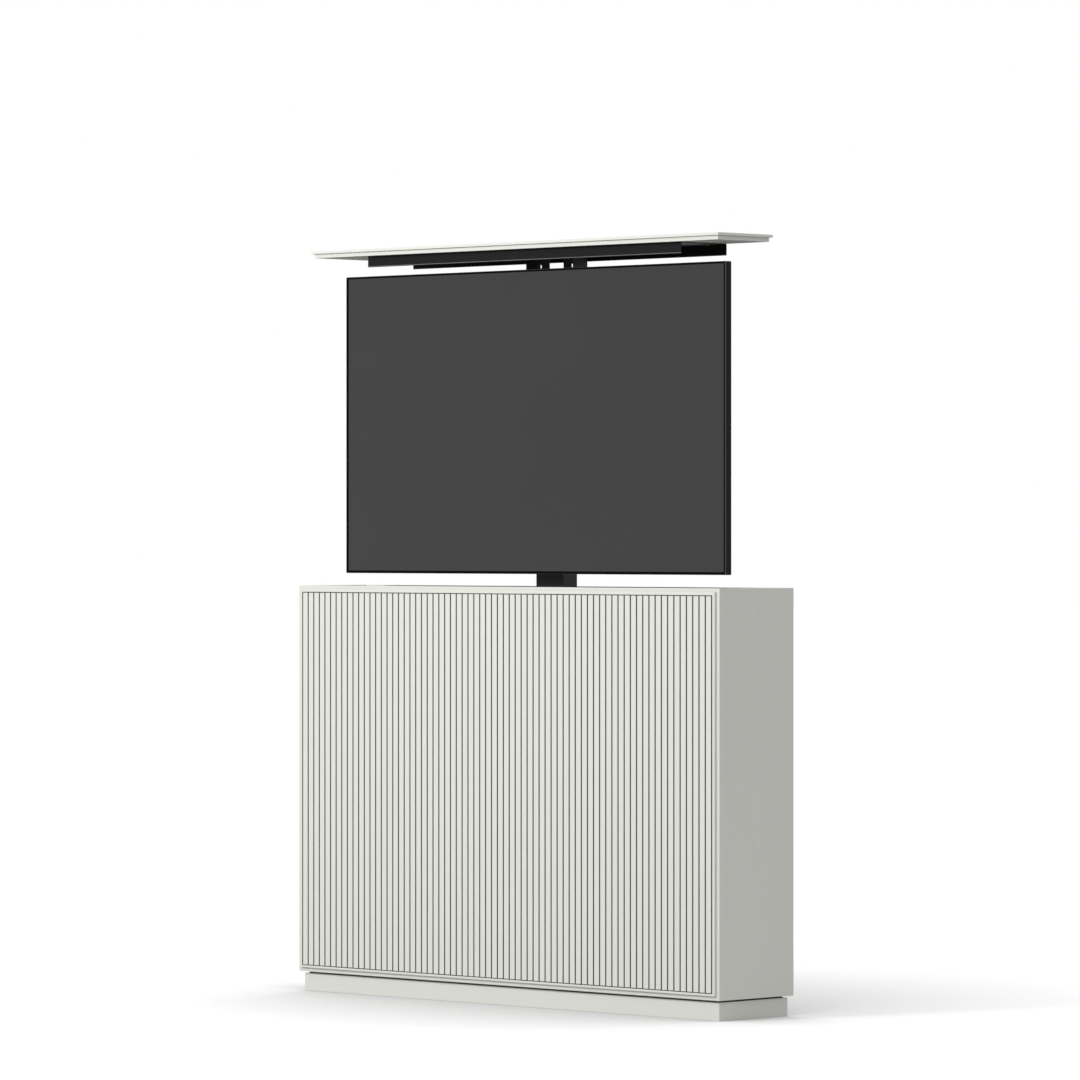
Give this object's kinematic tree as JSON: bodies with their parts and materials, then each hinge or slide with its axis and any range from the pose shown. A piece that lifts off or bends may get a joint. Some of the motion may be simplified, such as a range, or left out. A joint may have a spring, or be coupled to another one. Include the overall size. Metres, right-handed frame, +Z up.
{
  "type": "tv lift cabinet",
  "caption": "Fluted cabinet with a telescopic column inside that raises a television and the lid above it out of the open top.",
  "frame": {"origin": "on the floor under the middle of the cabinet, midway between the slats' faces and the back edges", "axes": "+X to the right seen from the front, +Y from the fluted front to the back, +Z up"},
  "size_m": [1.37, 0.25, 1.7555],
  "materials": {
    "painted_board": "satin",
    "raw_softwood": "matte",
    "black_steel": "satin",
    "zinc_screw": "satin",
    "black_bolt": "satin",
    "black_nylon": "matte",
    "nut_bronze": "satin",
    "screw_steel": "satin",
    "gearbox_aluminium": "satin",
    "motor_steel": "satin",
    "control_plastic": "matte",
    "circuit_board": "satin",
    "bezel_black": "matte",
    "screen_glass": "gloss",
    "chassis_aluminium": "satin"
  },
  "bodies": {
    "cabinet": {"back_panel": "painted_board", "back_panel_screws": "zinc_screw", "base_plate_screws": "zinc_screw", "batten_left": "raw_softwood", "batten_right": "raw_softwood", "bead_bottom": "painted_board", "bead_left": "painted_board", "bead_right": "painted_board", "bead_top": "painted_board", "bottom_board": "painted_board", "cable_grommet": "black_nylon", "carcass_dowels": "raw_softwood", "column_base_plate": "black_steel", "control_board": "circuit_board", "control_box": "control_plastic", "control_box_screws": "zinc_screw", "control_cover": "control_plastic", "fluted_panel": "painted_board", "front_board": "painted_board", "gearbox": "gearbox_aluminium", "ledge_front": "painted_board", "ledge_left": "painted_board", "ledge_rear": "painted_board", "ledge_right": "painted_board", "left_side": "painted_board", "motor": "motor_steel", "outer_collar": "black_nylon", "outer_tube": "black_steel", "plinth_back": "painted_board", "plinth_front": "painted_board", "plinth_left": "painted_board", "plinth_right": "painted_board", "rear_top_board": "painted_board", "right_side": "painted_board"},
    "mid_stage": {"mid_tube": "black_steel", "mid_collar": "black_nylon", "mid_foot_glide": "black_nylon", "mid_nut": "nut_bronze"},
    "lift_head": {"inner_tube": "black_steel", "inner_foot_glide": "black_nylon", "inner_nut": "nut_bronze", "head_plate": "black_steel", "carrier_plate": "black_steel", "vesa_plate": "black_steel", "post_left": "black_steel", "post_right": "black_steel", "post_bolts": "black_bolt", "bracket_bolts": "black_bolt", "lid_tray": "black_steel", "tray_screws": "black_bolt", "lid_board": "painted_board", "tv_bezel": "bezel_black", "tv_screen": "screen_glass", "tv_chassis": "chassis_aluminium", "tv_rear_cover": "bezel_black", "tv_power_board": "circuit_board", "tv_main_board": "circuit_board", "tv_mount_screws": "black_bolt"},
    "lower_drive": {"lower_screw": "screw_steel"},
    "upper_drive": {"upper_screw": "screw_steel"}
  },
  "joints": [
    {"name": "mid_slide", "type": "slide", "parent": "cabinet", "child": "mid_stage", "axis": [0, 0, 1], "range_m": [-0.3965, 0]},
    {"name": "head_slide", "type": "slide", "parent": "mid_stage", "child": "lift_head", "axis": [0, 0, 1], "range_m": [-0.3965, 0]},
    {"name": "lower_screw_spin", "type": "hinge", "parent": "cabinet", "child": "lower_drive", "pos_m": [0.02, 0.03925, 0.4], "axis": [0, 0, 1], "range_deg": [0, 7140]},
    {"name": "upper_screw_spin", "type": "hinge", "parent": "mid_stage", "child": "upper_drive", "pos_m": [0.02, 0.03925, 0.4], "axis": [0, 0, 1], "range_deg": [0, 7140]}
  ],
  "couplings": [
    {"joint": "head_slide", "follows": "mid_slide", "ratio": 1},
    {"joint": "lower_screw_spin", "follows": "mid_slide", "rad_per_m": -314.16},
    {"joint": "upper_screw_spin", "follows": "mid_slide", "rad_per_m": -314.16}
  ]
}
